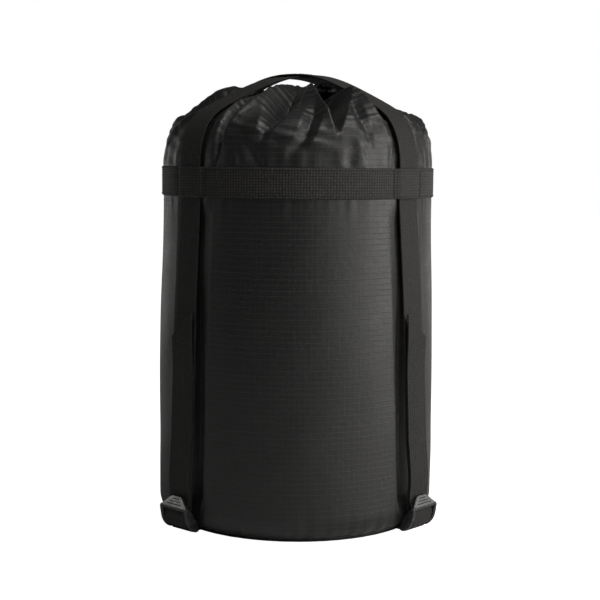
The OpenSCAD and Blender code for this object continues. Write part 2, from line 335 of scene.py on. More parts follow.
class Nodes:
    """Short ways to add shader nodes to one material or world."""

    def __init__(self, tree, shader):
        self.tree = tree
        self.shader = tree.nodes[shader]

    def set(self, key, value):
        """Gives an input of the tree's own shader a value or a link."""
        self.put(self.shader.inputs[key], value)

    def add(self, kind, **values):
        node = self.tree.nodes.new(kind)
        for key, value in values.items():
            setattr(node, key, value)
        return node

    def put(self, socket, value):
        if isinstance(value, bpy.types.NodeSocket):
            self.tree.links.new(value, socket)
        else:
            socket.default_value = value

    def math(self, operation, a, b=0.0, c=0.0):
        node = self.add("ShaderNodeMath", operation=operation)
        for socket, value in zip(node.inputs, (a, b, c)):
            self.put(socket, value)
        return node.outputs[0]

    def ramp(self, value, a, b, to_a=0.0, to_b=1.0):
        node = self.add("ShaderNodeMapRange", interpolation_type="SMOOTHSTEP")
        keys = ("Value", "From Min", "From Max", "To Min", "To Max")
        for key, item in zip(keys, (value, a, b, to_a, to_b)):
            self.put(node.inputs[key], item)
        return node.outputs["Result"]

    def mix(self, factor, a, b):
        node = self.add("ShaderNodeMix", data_type="RGBA")
        self.put(node.inputs["Factor"], factor)
        self.put(node.inputs["A"], a if isinstance(a, bpy.types.NodeSocket) else (*a, 1))
        self.put(node.inputs["B"], b if isinstance(b, bpy.types.NodeSocket) else (*b, 1))
        return node.outputs["Result"]

    def noise(self, vector, scale, detail=2.0, rough=0.5):
        node = self.add("ShaderNodeTexNoise")
        self.put(node.inputs["Vector"], vector)
        node.inputs["Scale"].default_value = scale
        node.inputs["Detail"].default_value = detail
        node.inputs["Roughness"].default_value = rough
        return node.outputs["Fac"]

    def uv(self):
        node = self.add("ShaderNodeSeparateXYZ")
        self.put(node.inputs[0], self.add("ShaderNodeUVMap", uv_map="UVMap").outputs[0])
        return node.outputs["X"], node.outputs["Y"]

    def place(self):
        return self.add("ShaderNodeTexCoord").outputs["Object"]

    def wave(self, value, pitch, phase=0.0):
        """0 to 1 and back once every pitch."""
        turn = self.math("MULTIPLY_ADD", value, 2 * math.pi / pitch, phase)
        return self.math("MULTIPLY_ADD", self.math("SINE", turn), 0.5, 0.5)

    def lines(self, value, pitch, width):
        """1 on lines of a width every pitch, 0 between them."""
        away = self.math("PINGPONG", value, pitch / 2)
        return self.ramp(away, width * 0.35, width * 0.75, 1.0, 0.0)

    def bump(self, height, distance, strength=1.0, under=None):
        node = self.add("ShaderNodeBump")
        node.inputs["Strength"].default_value = strength
        node.inputs["Distance"].default_value = distance
        self.put(node.inputs["Height"], height)
        if under is not None:
            self.put(node.inputs["Normal"], under)
        return node.outputs["Normal"]


def ripstop(name):
    """Black coated nylon: a grid of doubled threads over a fine plain weave, with a soft crinkle."""
    mat, n = start_material(name, (0.016, 0.0155, 0.0155), 0.42)
    u, v = n.uv()
    pitch = 4.6 * MM
    across = n.lines(u, pitch, 0.5 * MM)
    along = n.lines(v, pitch, 0.55 * MM)
    grid = n.math("MAXIMUM", n.math("MULTIPLY", across, 0.45), along)
    weave = n.math("MULTIPLY", n.wave(u, 0.9 * MM), n.wave(v, 0.9 * MM))
    beads = n.math("MULTIPLY", grid, n.math("MULTIPLY_ADD", weave, 0.7, 0.5))
    cloudy = n.noise(n.place(), 38, 4, 0.6)
    base = n.mix(cloudy, (0.0085, 0.0082, 0.0082), (0.0145, 0.0140, 0.0138))
    colour = n.mix(n.math("MULTIPLY", beads, 0.26), base, (0.052, 0.050, 0.049))
    n.set("Base Color", colour)
    rough = n.math("MULTIPLY_ADD", n.noise(n.place(), 90, 3), 0.16, 0.36)
    n.set("Roughness", n.math("MULTIPLY_ADD", grid, 0.06, rough))
    n.set("Sheen Weight", 0.10)
    n.set("Sheen Roughness", 0.35)
    n.set("Sheen Tint", (0.75, 0.74, 0.72, 1))
    fine = n.bump(n.math("MULTIPLY_ADD", weave, 0.35, beads), 0.10 * MM, 0.8)
    n.set("Normal", n.bump(n.noise(n.place(), 210, 3, 0.55), 0.35 * MM, 0.55, fine))
    return mat


def webbing(name, ribs, tone, rib_depth, bead):
    """Black polypropylene webbing: lengthwise ribs crossed by a slanting weave, with painted shade in the
    hollows between the yarns and a painted highlight on their crowns.
    """
    mat, n = start_material(name, (0.02, 0.02, 0.02), 0.62, 0.28)
    u, v = n.uv()
    rib_pitch = WEB_W / ribs
    rib = n.wave(u, rib_pitch, math.pi / 2)
    slant = n.math("MULTIPLY_ADD", n.math("PINGPONG", u, rib_pitch / 2), 1.0, v)
    weft = n.wave(slant, bead)
    uneven = n.ramp(n.noise(n.place(), 800, 2), 0.35, 0.65, 0.45, 1.0)
    warp = n.math("MULTIPLY_ADD", rib, 0.55, 0.45)
    yarn = n.math("MULTIPLY", warp, n.math("MULTIPLY_ADD", weft, 0.85, 0.15))
    yarn = n.math("MULTIPLY", yarn, uneven)
    # Painted shade and highlight: the yarn relief sets the colour, near black in the hollows between the
    # yarns and pale on their crowns.
    deep_groove_shade, groove_shade, lit = [tuple(tone * c for c in colour) for colour in
                         ((0.0045, 0.0043, 0.0042), (0.0070, 0.0067, 0.0065), (0.060, 0.058, 0.055))]
    shaded_groove = n.mix(n.noise(n.place(), 60, 3), deep_groove_shade, groove_shade)
    n.set("Base Color", n.mix(yarn, shaded_groove, lit))
    n.set("Roughness", n.math("MULTIPLY_ADD", yarn, -0.12, 0.72))
    n.set("Sheen Weight", 0.08)
    n.set("Sheen Roughness", 0.45)
    n.set("Sheen Tint", (0.7, 0.7, 0.68, 1))
    woven = n.bump(yarn, rib_depth * 1.6, 0.9)
    n.set("Normal", n.bump(n.noise(n.place(), 900, 2), 0.06 * MM, 0.6, woven))
    return mat


def plastic(name, colour, rough):
    """Moulded acetal with a fine spark-eroded grain, rubbed smoother and paler in places."""
    mat, n = start_material(name, colour, rough)
    grain = n.noise(n.place(), 2600, 2, 0.6)
    worn = n.noise(n.place(), 160, 4, 0.65)
    paler = tuple(c * 2.1 + 0.012 for c in colour)
    n.set("Base Color", n.mix(n.ramp(worn, 0.5, 0.75), colour, paler))
    n.set("Roughness", n.math("MULTIPLY_ADD", worn, 0.25, rough - 0.12))
    n.set("Normal", n.bump(grain, 0.05 * MM, 0.45))
    return mat


def braid(name):
    """Round braided cord: strands that cross at a slant, with a paler fleck."""
    mat, n = start_material(name, (0.02, 0.02, 0.02), 0.6, 0.4)
    u, v = n.uv()
    turn = math.pi * CORD_D / 4
    one = n.wave(n.math("ADD", u, v), turn)
    two = n.wave(n.math("SUBTRACT", u, v), turn)
    strand = n.math("MAXIMUM", one, two)
    fleck = n.ramp(n.noise(n.place(), 700, 1), 0.60, 0.68)
    base = n.mix(strand, (0.008, 0.008, 0.008), (0.04, 0.039, 0.038))
    n.set("Base Color", n.mix(n.math("MULTIPLY", fleck, 0.35), base, (0.11, 0.085, 0.06)))
    n.set("Normal", n.bump(strand, 0.22 * MM, 0.9))
    return mat


def thread_material(name):
    """Bonded polyester thread, twisted."""
    mat, n = start_material(name, (0.012, 0.012, 0.012), 0.5)
    u, v = n.uv()
    ply = n.wave(n.math("MULTIPLY_ADD", u, 1.2, v), 0.5 * MM)
    n.set("Base Color", n.mix(ply, (0.007, 0.007, 0.007), (0.035, 0.034, 0.033)))
    n.set("Normal", n.bump(ply, 0.08 * MM, 0.8))
    return mat


def steel(name):
    """Plated steel, drawn and a little tarnished."""
    mat, n = start_material(name, (0.5, 0.5, 0.5), 0.3)
    stain = n.noise(n.place(), 420, 4, 0.7)
    n.set("Metallic", 1)
    n.set("Base Color", n.mix(stain, (0.34, 0.33, 0.32), (0.62, 0.61, 0.60)))
    n.set("Roughness", n.math("MULTIPLY_ADD", stain, 0.3, 0.18))
    n.set("Normal", n.bump(n.noise(n.place(), 1800, 2), 0.02 * MM, 0.4))
    return mat


def floor_material():
    """Pale grey to the lamps' light, plain white to the camera."""
    mat, n = start_material("studio_floor", (0.9, 0.9, 0.9), 0.8, 0.1)
    cloudy = n.noise(n.place(), 3, 2)
    n.set("Base Color", n.mix(cloudy, (0.72, 0.72, 0.72), (0.75, 0.75, 0.75)))
    n.set("Emission Color", (1, 1, 1, 1))
    seen = n.add("ShaderNodeLightPath").outputs["Is Camera Ray"]
    n.set("Emission Strength", n.math("MULTIPLY", seen, 1.0))
    return mat


# ---- Camera, light and floor ----

def studio():
    scene = bpy.context.scene
    scene.view_settings.view_transform = "Standard"
    camera_data = bpy.data.cameras.new("camera")
    camera_data.sensor_width = 36
    camera_data.lens = 80.3
    camera_data.clip_start = 0.05
    camera = bpy.data.objects.new("camera", camera_data)
    scene.collection.objects.link(camera)
    pitch, roll = 6.06, 0.55
    turn = Matrix.Rotation(math.radians(90 - pitch), 4, "X") @ Matrix.Rotation(math.radians(roll), 4, "Z")
    camera.matrix_world = Matrix.Translation((0.003, -1.180, 0.3138)) @ turn
    scene.camera = camera

    # name, place, what it points at, width, height, watts
    lamps = (("key_softbox", (1.45, -0.40, 0.14), (0, 0, 0.12), 0.9, 1.8, 23),
             ("fill_softbox", (1.0, -1.25, 0.4), (0, 0, 0.16), 0.7, 1.4, 5),
             ("top_softbox", (0.45, -0.50, 1.45), (0, 0, 0.33), 0.7, 0.5, 8),
             ("right_glint", (1.14, 0.15, 0.33), (0.108, -0.072, 0.025), 0.20, 0.18, 0.5),
             ("left_glint", (-1.13, -0.06, 0.40), (-0.100, -0.083, 0.025), 0.20, 0.18, 0.45),
             ("left_edge_strip", (-0.95, 1.15, 0.02), (0, 0, 0.06), 0.5, 1.2, 2.0),
             ("right_edge_strip", (0.85, 1.25, 0.05), (0, 0, 0.08), 0.5, 1.2, 2.0))
    for name, at, target, width, height, watts in lamps:
        data = bpy.data.lights.new(name, "AREA")
        data.shape = "RECTANGLE"
        data.size, data.size_y, data.energy = width, height, watts
        data.color = (1.0, 0.985, 0.965)
        lamp = bpy.data.objects.new(name, data)
        lamp.location = at
        lamp.rotation_euler = (Vector(target) - Vector(at)).to_track_quat("-Z", "Y").to_euler()
        scene.collection.objects.link(lamp)

    world = bpy.data.worlds.new("studio")
    scene.world = world
    world.use_nodes = True
    n = Nodes(world.node_tree, "Background")
    seen = n.add("ShaderNodeLightPath").outputs["Is Camera Ray"]
    n.set("Strength", n.ramp(seen, 0, 1, 0.05, 1.0))
    n.set("Color", (1, 1, 1, 1))

    reach = 6.0
    mesh = bpy.data.meshes.new("floor")
    corners = [(x * reach, y * reach, 0) for x, y in ((-1, -1), (1, -1), (1, 1), (-1, 1))]
    mesh.from_pydata(corners, [], [(0, 1, 2, 3)])
    mesh.materials.append(floor_material())
    floor = bpy.data.objects.new("floor", mesh)
    scene.collection.objects.link(floor)


# ---- Drawcord ----

# Route of a drawcord tail, in mm: distance from the mouth's centre towards the eyelet, and height
CORD_ROUTE = [[14.3, 373.7], [12.8, 374.9], [10.6, 375.5], [8.2, 375.2], [6.0, 373.9],
              [4.4, 371.7], [3.6, 369], [3.4, 366], [3.4, 340], [3.4, 300], [3.4, 260], [3.4, 220],
              [3.4, 180], [3.4, 140], [3.4, 110], [3.4, 86]]


def mouth_point(aside, dist, z):
    """A point by its distance from the mouth's centre towards the eyelet; takes arrays."""
    aside, dist, z = np.broadcast_arrays(aside, dist, z)
    x = MOUTH[0] + aside * cos(EXIT_TURN) + dist * sin(EXIT_TURN)
    y = MOUTH[1] + aside * sin(EXIT_TURN) - dist * cos(EXIT_TURN)
    return np.stack([x, y, z], axis=-1)


def make_cords(cord_mat):
    tails = []
    for name, aside in (("drawcord_tail_left", -CORD_GAP), ("drawcord_tail_right", CORD_GAP)):
        route = np.array(CORD_ROUTE) * MM
        points = mouth_point(aside, route[:, 0], route[:, 1])
        dense = np.vstack([resample(points[:8], 0.9 * MM), resample(points[7:], 4 * MM)[1:]])
        tail = make(f"{name}_braid", tube_part(dense, CORD_D / 2, 12), cord_mat)
        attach(tail, "sack_top")
        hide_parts(name)
        tails.append((tail, dense))
    return tails


def knot_part():
    """Overhand knot of both tails, drawn tight: a trefoil with two short ends."""
    t = np.linspace(0, 2 * math.pi, 72, endpoint=False)
    x = (np.sin(t) + 2 * np.sin(2 * t)) * 0.72 * MM
    y = (np.cos(t) - 2 * np.cos(2 * t)) * 0.72 * MM
    z = -np.sin(3 * t) * 1.1 * MM
    centre = mouth_point(0, 3.4 * MM, 81.8 * MM)
    trefoil = np.stack([x, y, z], axis=1) * [1, 1, 1.3] + centre
    parts = [tube_part(trefoil, CORD_D / 2 * 0.82, 10, closed=True)]
    for aside in (-1.2, 1.2):
        route = np.array([[aside, 0, 0], [aside * 1.2, 0, -2.4], [aside * 1.5, 0.3, -3.9]]) * MM
        parts.append(tube_part(resample(centre + route, 0.5 * MM), CORD_D / 2 * 0.85, 10))
    return join_parts(parts)


# ---- Cloth ----

def body_radius(z):
    down = np.clip((SPLIT_Z - z) / (150 * MM), 0, 1)
    upper = WAIST_R + (BODY_R - WAIST_R) * np.sin(np.pi / 2 * down) ** 2
    corner = np.clip((CORNER_H - z) / (CORNER_H - BODY_BOTTOM), 0, 1)
    lower = SEAM_R + (BODY_R - SEAM_R) * np.sqrt(np.maximum(0, 1 - corner**2))
    return np.where(z > CORNER_H, upper, lower)


def leg_station(strap, z):
    """Angle, radius, facing and outward offset of a leg's centre line at a height; takes arrays."""
    z_at = np.array([34.8, 110, 200, 282.6]) * MM
    share = np.interp(z, z_at, [0, 0.3, 0.65, 1])
    out = np.interp(z, z_at[:2], [2.52 * MM, 0])
    radius = np.interp(z, z_at, np.array([121, 122.3, 121, WEB_R / MM]) * MM)
    angle = strap[1] + (strap[0] - strap[1]) * share
    facing = strap[2] + (strap[0] - strap[2]) * share
    return angle, radius, facing, out


def wrapped(angle):
    return (angle + 180) % 360 - 180


def body_surface(angle, z):
    """Radius of the stuffed cloth: soft bulges, puckers at its seams, troughs and dents at the legs."""
    r = body_radius(z)
    middle = smooth(z, 20 * MM, 70 * MM) * (1 - smooth(z, 230 * MM, 280 * MM))
    slow = wobble(angle + 260 * z, (3, 5, 8), 11) + 0.6 * wobble(angle - 400 * z, (7, 11), 12)
    r = r + middle * 0.45 * MM * slow
    tall = wobble(angle, (14, 19, 23, 31), 13) * (0.5 + 0.5 * wobble(900 * z + angle, (1, 2), 14))
    r = r + middle * 0.06 * MM * tall
    near_top = np.exp(-(BAND_BOTTOM - z) / (8 * MM)) * smooth(BAND_TOP - z, 20 * MM, 32 * MM)
    r = r + 0.4 * MM * np.clip(near_top, 0, 1) * wobble(angle, (41, 53, 67, 83), 15)
    near_base = np.exp(-np.maximum(z - 6 * MM, 0) / (9 * MM)) * smooth(z, 3 * MM, 8 * MM)
    r = r + 0.9 * MM * near_base * wobble(angle, (23, 37, 49, 61, 79), 16)
    r = r - 0.7 * MM * np.exp(-((z - 5.5 * MM) / (1.3 * MM)) ** 2)
    for strap, spin in CORNERS.values():
        at = leg_station(strap, z)[0] + spin
        inner = -np.sign(strap[0]) * wrapped(angle - at) / 360 * 2 * math.pi * r
        drawn = smooth(z, 10 * MM, 34 * MM) * (1 - 0.75 * smooth(z, 110 * MM, 250 * MM))
        drawn = drawn * (1 - smooth(z, 262 * MM, 280 * MM))
        trough = (1 - smooth(inner, 16 * MM, 26 * MM)) * smooth(inner, -20 * MM, -11 * MM)
        r = r - drawn * 7.5 * MM * trough
        away = np.abs(inner)
        under = smooth(z, 30 * MM, 70 * MM)
        r = r - under * 0.9 * MM * (1 - smooth(away, 9 * MM, 15 * MM))
        r = r + under * 0.35 * MM * np.exp(-((away - 19 * MM) / (4 * MM)) ** 2)
    return r


def body_panel_part():
    """The body's cloth, and its height measured along the cloth."""
    cols = 480
    corner = CORNER_H - (CORNER_H - BODY_BOTTOM) * cos(np.linspace(0, 90, 26))
    zs = np.r_[corner, np.linspace(CORNER_H, SPLIT_Z - 0.5 * MM, 108)[1:]]
    angle = np.linspace(0, 360, cols, endpoint=False) - 180
    zz, aa = np.meshgrid(zs, angle, indexing="ij")
    points = polar(body_surface(aa, zz), aa, zz)
    rise = np.r_[0, np.cumsum(np.hypot(np.diff(body_radius(zs)), np.diff(zs)))]
    across = np.linspace(0, 1, cols + 1) * 2 * math.pi * BODY_R
    return grid_part(points, grid_uv(across, rise)), rise[-1]


def side_seam_part():
    """Felled seam down the back: a folded strip with two rows of stitching along its length."""
    zs = np.arange(CORNER_H + 2 * MM, BAND_BOTTOM - 2 * MM, 2.5 * MM)
    radius = body_surface(np.full_like(zs, 180.0), zs) + 0.45 * MM
    path = polar(radius, 180, zs)
    path[:, 0] += 0.35 * MM * np.sin(zs / (9 * MM))
    side = np.tile([-1.0, 0, 0], (len(zs), 1))
    out = unit(np.cross(side, heading(path)))
    out *= np.sign(out[:, 1:2])
    section = box_section(9 * MM, 0.7 * MM, 0.3 * MM)
    section[:, 1] += 0.18 * MM * np.cos(section[:, 0] / (4.5 * MM) * math.pi * 1.5)
    return sweep_part(path, side, out, section), path, out


def base_panel_part():
    """Round floor of the sack, slightly uneven, puckered towards its edge."""
    rings, cols = 40, 180
    r = np.linspace(1.5 * MM, SEAM_R - 0.6 * MM, rings)
    angle = np.linspace(0, 360, cols, endpoint=False)
    rr, aa = np.meshgrid(r, angle, indexing="ij")
    edge = smooth(rr, 0.75 * SEAM_R, SEAM_R)
    z = 0.75 * MM + 0.35 * MM * edge * wobble(aa, (31, 43, 57), 21)
    z = z + 0.25 * MM * wobble(aa + rr * 900, (2, 3, 5), 22)
    points = polar(rr, aa, np.clip(z, 0.1 * MM, 1.35 * MM))
    uv = np.concatenate([points[..., :2], points[:, :1, :2]], axis=1)
    hub, faces, _ = cap_part(points[0], True)
    hub_uv = [tuple((float(hub[k][0]), float(hub[k][1])) for k in face) for face in faces]
    return join_parts([grid_part(points, uv), (hub, faces, hub_uv)])


# ---- Gathered top: the cloth between the band and the hem ----

# Pleat valleys at the sides and the back: angle, depth in mm, half width in mm at 60 mm from the axis,
# the radius in mm where the valley is still whole and where it has faded out, how many degrees it
# drifts, and its lean: above 0 the wall on the side of larger angles is the steeper one
PLEATS = [(-58, 9, 6, 60, 100, -4, 0.3), (-77, 14, 8, 74, 112, -4, -0.4),
          (-97, 9, 6, 58, 98, 4, 0.3), (-116, 14, 7.5, 72, 108, -5, 0.2),
          (-138, 10, 6.5, 58, 98, 6, -0.3), (-160, 15, 8, 74, 113, -4, 0.3),
          (176, 10, 6.5, 60, 102, 5, -0.2), (153, 14, 7.5, 72, 110, -6, 0.3),
          (130, 10, 6.5, 60, 98, 4, -0.3), (107, 15, 8, 74, 112, 5, 0.3),
          (85, 10, 6.5, 60, 100, -5, -0.2), (66, 13, 7, 66, 108, 5, 0.3)]

# Sharp folds, each a line of (angle, mm from the hem, rise in mm, left width, right width in mm). The
# last two numbers are how crisp its left and right flanks are, below 1 for a square shoulder.
FOLDS = [
    # the deep hollow right of the front lobe and the lip that hangs over it
    ([(5, 4, -22, 3, 16), (9, 28, -28, 4, 23), (12.5, 54, -26, 4, 21), (14.5, 80, -15, 3, 13),
      (15.6, 96, -5, 2.5, 6), (16, 105, 0, 2, 3)], 0.6, 1.15),
    ([(-6, 6, 4, 22, 2.5), (7.5, 54, 7, 18, 2.5), (12, 82, 6, 12, 2.5), (15, 104, 0, 6, 2)], 1.7, 0.7),
    # the crease down the front lobe, its far flank and the soft one beside it
    ([(-16, 6, -5, 12, 8), (-14, 38, -10, 15, 12), (-12.8, 64, -14, 15, 13), (-13.5, 90, -9, 11, 9),
      (-15, 110, 0, 5, 4)], 1.35, 0.8),
    ([(7, 52, 0, 7, 6), (4.5, 90, -4.5, 8, 9), (2, 108, -4.5, 8, 8), (-5, 125, 0, 5, 5)], 1.2, 1.1),
    ([(-25, 104, 0, 6, 6), (-18, 122, -2.2, 7, 7), (-11, 136, 0, 5, 5)], 1.2, 1.2),
    # the front lobe's left ridge, the valleys behind it and the gap beside the left strap
    ([(-32, 6, 4, 4, 18), (-29, 45, 8, 4, 20), (-28.5, 70, 8, 4, 18), (-30, 90, 5, 3, 14),
      (-33, 114, 0, 3, 6)], 0.8, 1.5),
    ([(-42, 14, -10, 8, 7), (-37, 48, -15, 8, 7), (-34.5, 73, -14, 7, 6), (-34.5, 96, -8, 5, 5),
      (-34.5, 120, -4, 4, 4), (-35, 136, 0, 3, 3)], 1.0, 0.8),
    ([(-50, 40, 0, 4, 4), (-44, 62, 4, 5, 3), (-40, 84, 3, 4, 3), (-39, 104, 0, 3, 3)], 1.2, 0.8),
    # the right lobe: its ridge, the crescent hollow beside the right strap and soft dips in its face
    ([(17, 16, 4, 6, 8), (29, 36, 8, 12, 6), (36, 56, 9, 15, 4), (36, 74, 8, 15, 4), (37, 92, 4, 11, 4),
      (40, 110, 0, 6, 3)], 1.6, 0.8),
    ([(36, 38, -8, 4, 9), (41, 60, -14, 4, 9), (43, 80, -13, 4, 8), (44, 98, -7, 4, 6),
      (44, 122, 0, 3, 4)], 0.9, 1.0),
    ([(28, 64, 0, 4, 5), (27.5, 82, -4.5, 7, 7), (29, 102, -2.5, 6, 6), (31, 118, 0, 3, 3)], 1.2, 1.0),
    ([(23, 104, 0, 5, 3), (26, 118, 1.6, 9, 3), (28, 136, 0, 5, 3)], 1.3, 0.9),
    ([(41, 100, 0, 3, 2), (40.3, 116, 1.3, 4, 1.5), (39.6, 134, 1.0, 4, 1.5), (39.6, 142, 0, 3, 1.5)],
     1.2, 0.8),
    # thin ridges on the outer lobes
    ([(-60, 30, 1, 5, 6), (-68, 60, 4, 5, 9), (-82, 87, 4, 4, 9), (-97, 106, 2, 4, 6),
      (-104, 122, 0, 3, 4)], 0.8, 1.4),
    ([(-56, 60, 0, 4, 5), (-64, 88, 3.4, 4, 8), (-72, 108, 2.6, 4, 8), (-76, 130, 0, 3, 4)], 0.8, 1.4),
    ([(58, 60, 0, 4, 6), (60, 84, 3, 8, 4), (58, 106, 2.4, 6, 3), (58, 134, 0, 4, 3)], 1.4, 0.8),
    ([(84, 70, 0, 4, 6), (78, 90, 3, 8, 4), (70, 106, 2.4, 6, 3), (71, 130, 0, 4, 3)], 1.4, 0.8),
]

# The folds' lines fan out from a circle of this radius, in mm
FAN_R = 12

# Broad lobes: angle, half width in degrees, radius and half reach in mm, rise in mm
LOBES = [(-98, 34, 70, 24, 14), (-130, 30, 64, 26, 6), (88, 30, 80, 22, 2),
         (-10, 20, 45, 30, 3), (27, 12, 70, 30, 4)]


def random_creases(count):
    """Short, shallow creases that run out from the mouth all the way round."""
    own = np.random.default_rng(35)
    creases = []
    for k in range(count):
        angle = k * 360 / count + own.uniform(-4, 4) - 180
        start, run = own.uniform(10, 95), own.uniform(18, 55)
        end = min(start + run, 142)
        size = own.uniform(0.6, 1.8) * own.choice([-1, 1]) * (0.3 if abs(angle) < 46 else 1)
        bend, wide = own.uniform(-9, 9), own.uniform(1.8, 4.5)
        widths = (wide, wide * 0.6)
        creases.append(([(angle, start, 0, *widths), (angle + bend * 0.4, (start + end) / 2, size, *widths),
                         (angle + bend, end, 0, *widths)], 1.1, 0.9))
    return creases


def collar_profile(share):
    """Radius about the drifting centre and height of the smooth gathered form, by share of its length."""
    t = np.linspace(0, 88, 80)
    radius = np.r_[WAIST_R, WAIST_R * cos(t) ** (2 / DOME_N)]
    height = np.r_[SPLIT_Z + 0.5 * MM, BAND_TOP + DOME_H * sin(t) ** (2 / DOME_N) - slumped(t)]
    inside = radius > HEM_R + 3.0 * MM
    radius = np.r_[radius[inside], HEM_R + 1.2 * MM]
    height = np.r_[height[inside], MOUTH_Z + 1.0 * MM]
    s = np.r_[0, np.cumsum(np.hypot(np.diff(radius), np.diff(height)))]
    return np.interp(share * s[-1], s, radius), np.interp(share * s[-1], s, height), s[-1]


def pleat_shape(radius, angle):
    """How far the cloth sinks below its smooth form in the pleats' valleys."""
    sunk = np.zeros(np.broadcast(radius, angle).shape)
    for at, depth, half_width, whole, gone, drift, tilt in PLEATS:
        centre = at + drift * smooth(radius, HEM_R, gone * MM)
        away = wrapped(angle - centre) * math.pi / 180 * radius
        width = half_width * MM * (0.30 + 0.70 * np.clip(radius / (60 * MM), 0, 1.6))
        grown = smooth(radius, HEM_R, HEM_R + 18 * MM) * (1 - smooth(radius, whole * MM, gone * MM))
        width = width * (1 - tilt * np.tanh(away / (3 * MM)))
        sunk = sunk + depth * MM * grown * np.exp(-np.abs(away / width) ** 1.6)
    return np.minimum(sunk, 28 * MM)


def fold_shape(away, angle, folds):
    """How far folds lift (or, below 0, sink) the cloth at a distance from the hem and an angle."""
    reach = away + FAN_R * MM
    x, y = reach * sin(angle), -reach * cos(angle)
    lifted, sunk = np.zeros_like(x), np.zeros_like(x)
    for line, crisp_left, crisp_right in folds:
        line = np.array(line, float)
        out = (line[:, 1] + FAN_R) * MM
        nodes = np.stack([out * sin(line[:, 0]), -out * cos(line[:, 0])], axis=1)
        s = lengths(nodes)
        at = np.linspace(0, s[-1], 160)
        nodes = spline(s, nodes, at)
        values = np.stack([np.interp(at, s, line[:, k]) for k in (2, 3, 4)], axis=1)
        widest = values[:, 1:].max() * MM
        (x0, y0), (x1, y1) = nodes.min(axis=0) - widest, nodes.max(axis=0) + widest
        near = (x > x0) & (x < x1) & (y > y0) & (y < y1)
        p = np.stack([x[near], y[near]], axis=1)
        gap = np.linalg.norm(p[:, None] - nodes[None], axis=2)
        k = np.clip(gap.argmin(axis=1), 1, len(nodes) - 2)
        d = unit(nodes[k + 1] - nodes[k - 1])
        off = p - nodes[k]
        side = d[:, 0] * off[:, 1] - d[:, 1] * off[:, 0]
        past = np.maximum(np.abs(np.sum(d * off, axis=1)) - 1.5 * MM, 0)
        width = np.where(side < 0, values[k, 1], values[k, 2]) * MM
        crisp = np.where(side < 0, crisp_left, crisp_right)
        flank = np.clip(1 - np.hypot(side, past) / width, 0, 1) ** crisp
        rise = values[k, 0] * MM * flank
        lifted[near] = np.maximum(lifted[near], rise)
        sunk[near] = np.minimum(sunk[near], rise)
    return lifted + sunk


def collar_grid(rows, cols):
    share = np.linspace(0, 1, rows)
    radius, height, length = collar_profile(share)
    angle = np.linspace(0, 360, cols, endpoint=False) - 180
    step = np.gradient(radius), np.gradient(height)
    norm = np.hypot(*step)
    normal_r, normal_z = step[1] / norm, -step[0] / norm
    rr, aa = np.meshgrid(radius, angle, indexing="ij")
    towards = np.clip((WAIST_R - rr) / (WAIST_R - HEM_R), 0, 1) ** 0.8
    above = (height - BAND_TOP)[:, None]
    lift = 2.5 * MM * smooth(above, 8 * MM, 40 * MM) * smooth(rr, 20 * MM, 50 * MM)
    for at, wide, radius_at, reach, rise in LOBES:
        across = np.exp(-(wrapped(aa - at) / wide) ** 2)
        lift = lift + rise * MM * across * np.exp(-((rr - radius_at * MM) / (reach * MM)) ** 2)
    rim = np.exp(-np.maximum(above, 0) / (11 * MM)) * smooth(above, -2 * MM, 4 * MM)
    puckers = 1.1 * MM * rim * wobble(aa, (29, 38, 47, 61), 31)
    clear = 0.6 * MM * smooth(above, 2 * MM, 20 * MM)
    puckers = puckers + clear * wobble(aa + 350 * towards, (9, 13, 17), 32)
    away = ((1 - share) * length)[:, None] + 0 * aa
    folds = fold_shape(away, aa, FOLDS) + fold_shape(away, aa, random_creases(64))
    moved_out = lift + puckers - pleat_shape(rr, aa) + folds
    moved_out = np.maximum(moved_out, -28 * MM)
    under_strap = np.zeros_like(rr)
    for strap, spin in CORNERS.values():
        away = np.abs(wrapped(aa - strap[0] - spin)) * math.pi / 180 * rr
        pressed = (1 - smooth(away, 12 * MM, 19 * MM)) * (1 - smooth(above, 22 * MM, 45 * MM))
        under_strap = np.maximum(under_strap, pressed)
    moved_out = moved_out - under_strap * (np.maximum(moved_out, 0) + 0.9 * MM)
    moved_out = moved_out * smooth(above, -6 * MM, 1 * MM)
    x = MOUTH[0] * towards + (rr + normal_r[:, None] * moved_out) * sin(aa)
    y = MOUTH[1] * towards - (rr + normal_r[:, None] * moved_out) * cos(aa)
    z = height[:, None] + normal_z[:, None] * moved_out
    return np.stack([x, y, z], axis=-1), length, radius


